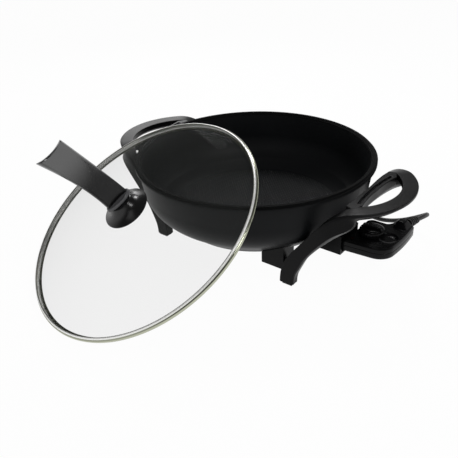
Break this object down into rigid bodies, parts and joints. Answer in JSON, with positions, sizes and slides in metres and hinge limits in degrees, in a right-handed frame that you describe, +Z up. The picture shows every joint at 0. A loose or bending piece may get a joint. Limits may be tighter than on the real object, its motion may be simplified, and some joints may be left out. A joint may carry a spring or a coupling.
{
  "type": "electric grill pan",
  "caption": "Deep round electric grill pan with two handle-and-leg mouldings, a plug-in heat control on a coiled cord, and a loose domed glass lid leaning on its rim.",
  "frame": {"origin": "middle of the footprint, on the table, with the cord and plug left out", "axes": "+Z up, +X from the pan to its heat control, +Y away from the side where the lid leans"},
  "size_m": [0.4566, 0.6142, 0.2198],
  "materials": {
    "nonstick": "black non-stick coating on cast aluminium, satin",
    "steel": "plain steel",
    "ceramic": "white ceramic beads, matt",
    "phenolic": "black moulded phenolic, satin",
    "control_plastic": "black moulded plastic, satin to gloss",
    "screws": "zinc-plated steel",
    "rubber": "black rubber and flexible plastic, matt",
    "glass": "clear tempered glass",
    "rim_steel": "polished stainless band",
    "collar_grey": "dark grey plastic, gloss",
    "lens": "dark red lens, gloss",
    "cord": "black flexible PVC, satin",
    "brass": "plated brass pins"
  },
  "bodies": {
    "base": {"pan": "nonstick", "heating_element": "steel", "terminal_pins": "steel", "pin_insulators": "ceramic", "socket_shroud": "phenolic", "socket_screws": "screws", "right_moulding": "phenolic", "left_moulding": "phenolic", "foot_pads": "rubber", "moulding_screws": "screws", "moulding_washers": "screws"},
    "lid": {"lid_glass": "glass", "lid_rim": "rim_steel", "knob_gasket": "rubber", "lid_washer": "screws", "lid_screw": "screws", "knob_base": "phenolic", "knob_collar": "collar_grey", "lid_handle": "phenolic"},
    "control": {"control_lower_shell": "control_plastic", "control_upper_shell": "control_plastic", "control_screws": "screws", "contact_block": "phenolic", "contact_sleeves": "steel", "temperature_probe": "steel", "thermostat_base": "phenolic", "bimetal_blade": "steel", "contact_arm": "steel", "pilot_lens": "lens", "pilot_lamp": "lens", "strain_relief": "rubber", "cord_lead": "cord", "cord_coil": "cord", "plug_body": "rubber", "plug_pins": "brass"},
    "dial": {"temperature_dial": "control_plastic", "dial_spindle": "steel"}
  },
  "joints": [
    {"name": "lid_lift", "type": "slide", "parent": "base", "child": "lid", "axis": [0, 0, 1], "range_m": [0, 0.25]},
    {"name": "control_pull", "type": "slide", "parent": "base", "child": "control", "axis": [1, 0, 0], "range_m": [0, 0.09]},
    {"name": "dial_turn", "type": "hinge", "parent": "control", "child": "dial", "pos_m": [0.176, 0.09114, 0.058], "axis": [0, 0, -1], "range_deg": [0, 270]}
  ]
}
